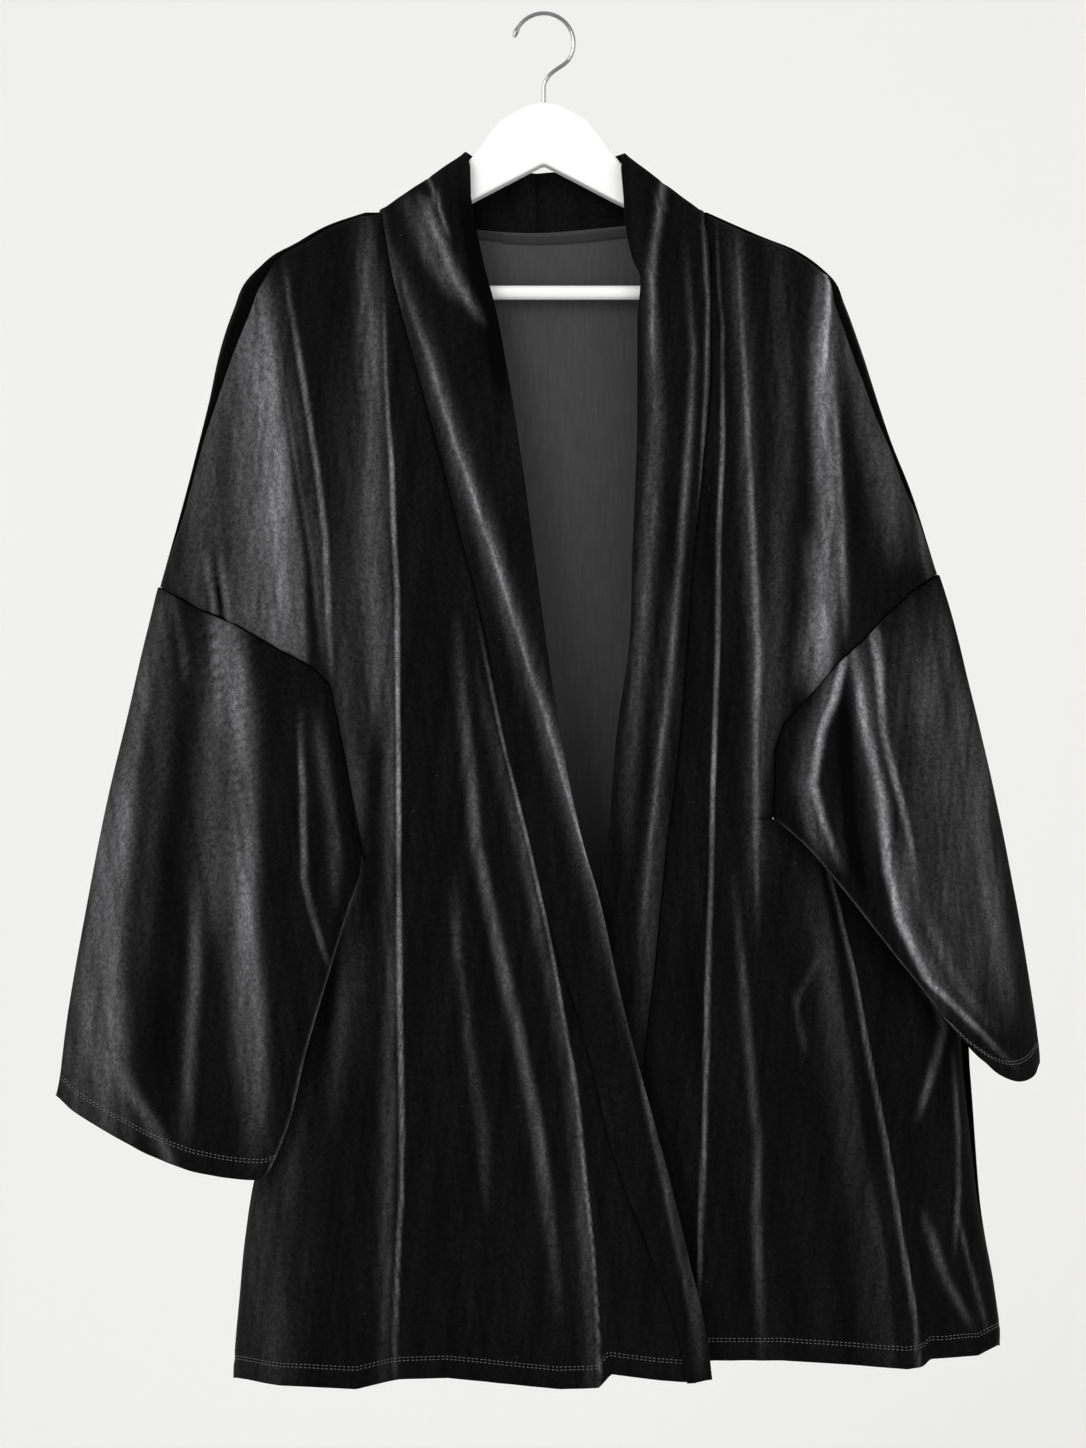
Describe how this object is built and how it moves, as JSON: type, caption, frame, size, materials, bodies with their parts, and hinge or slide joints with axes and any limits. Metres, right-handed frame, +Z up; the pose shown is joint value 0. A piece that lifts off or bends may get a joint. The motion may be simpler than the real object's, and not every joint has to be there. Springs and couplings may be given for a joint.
{
  "type": "kimono coat on a hanger",
  "caption": "Velvet kimono coat with a shawl band and wide dropped sleeves, hanging open on a flat wooden hanger with a wire hook.",
  "frame": {"origin": "inside top of the hanger's hook, where a rail carries it", "axes": "+Z up along the hanger's shank, +X to the right and +Y to the back as one looks at the coat's front; the flat hanger lies in the XZ plane"},
  "size_m": [0.7891, 0.1053, 1.0989],
  "materials": {
    "velvet": "black velvet, short brushed pile with a grey sheen on the folds, matt dark grey reverse",
    "binding": "black rolled seam binding",
    "painted_wood": "white satin paint on flat wood",
    "chromed_wire": "polished chromed steel wire"
  },
  "bodies": {
    "root": {"front_right": "velvet", "front_left": "velvet", "back": "velvet", "sleeve_right": "velvet", "sleeve_left": "velvet", "band_right": "velvet", "band_left": "velvet", "neck_tape": "binding", "hanger_body": "painted_wood", "hanger_bar": "painted_wood", "hanger_hook": "chromed_wire"}
  },
  "joints": []
}
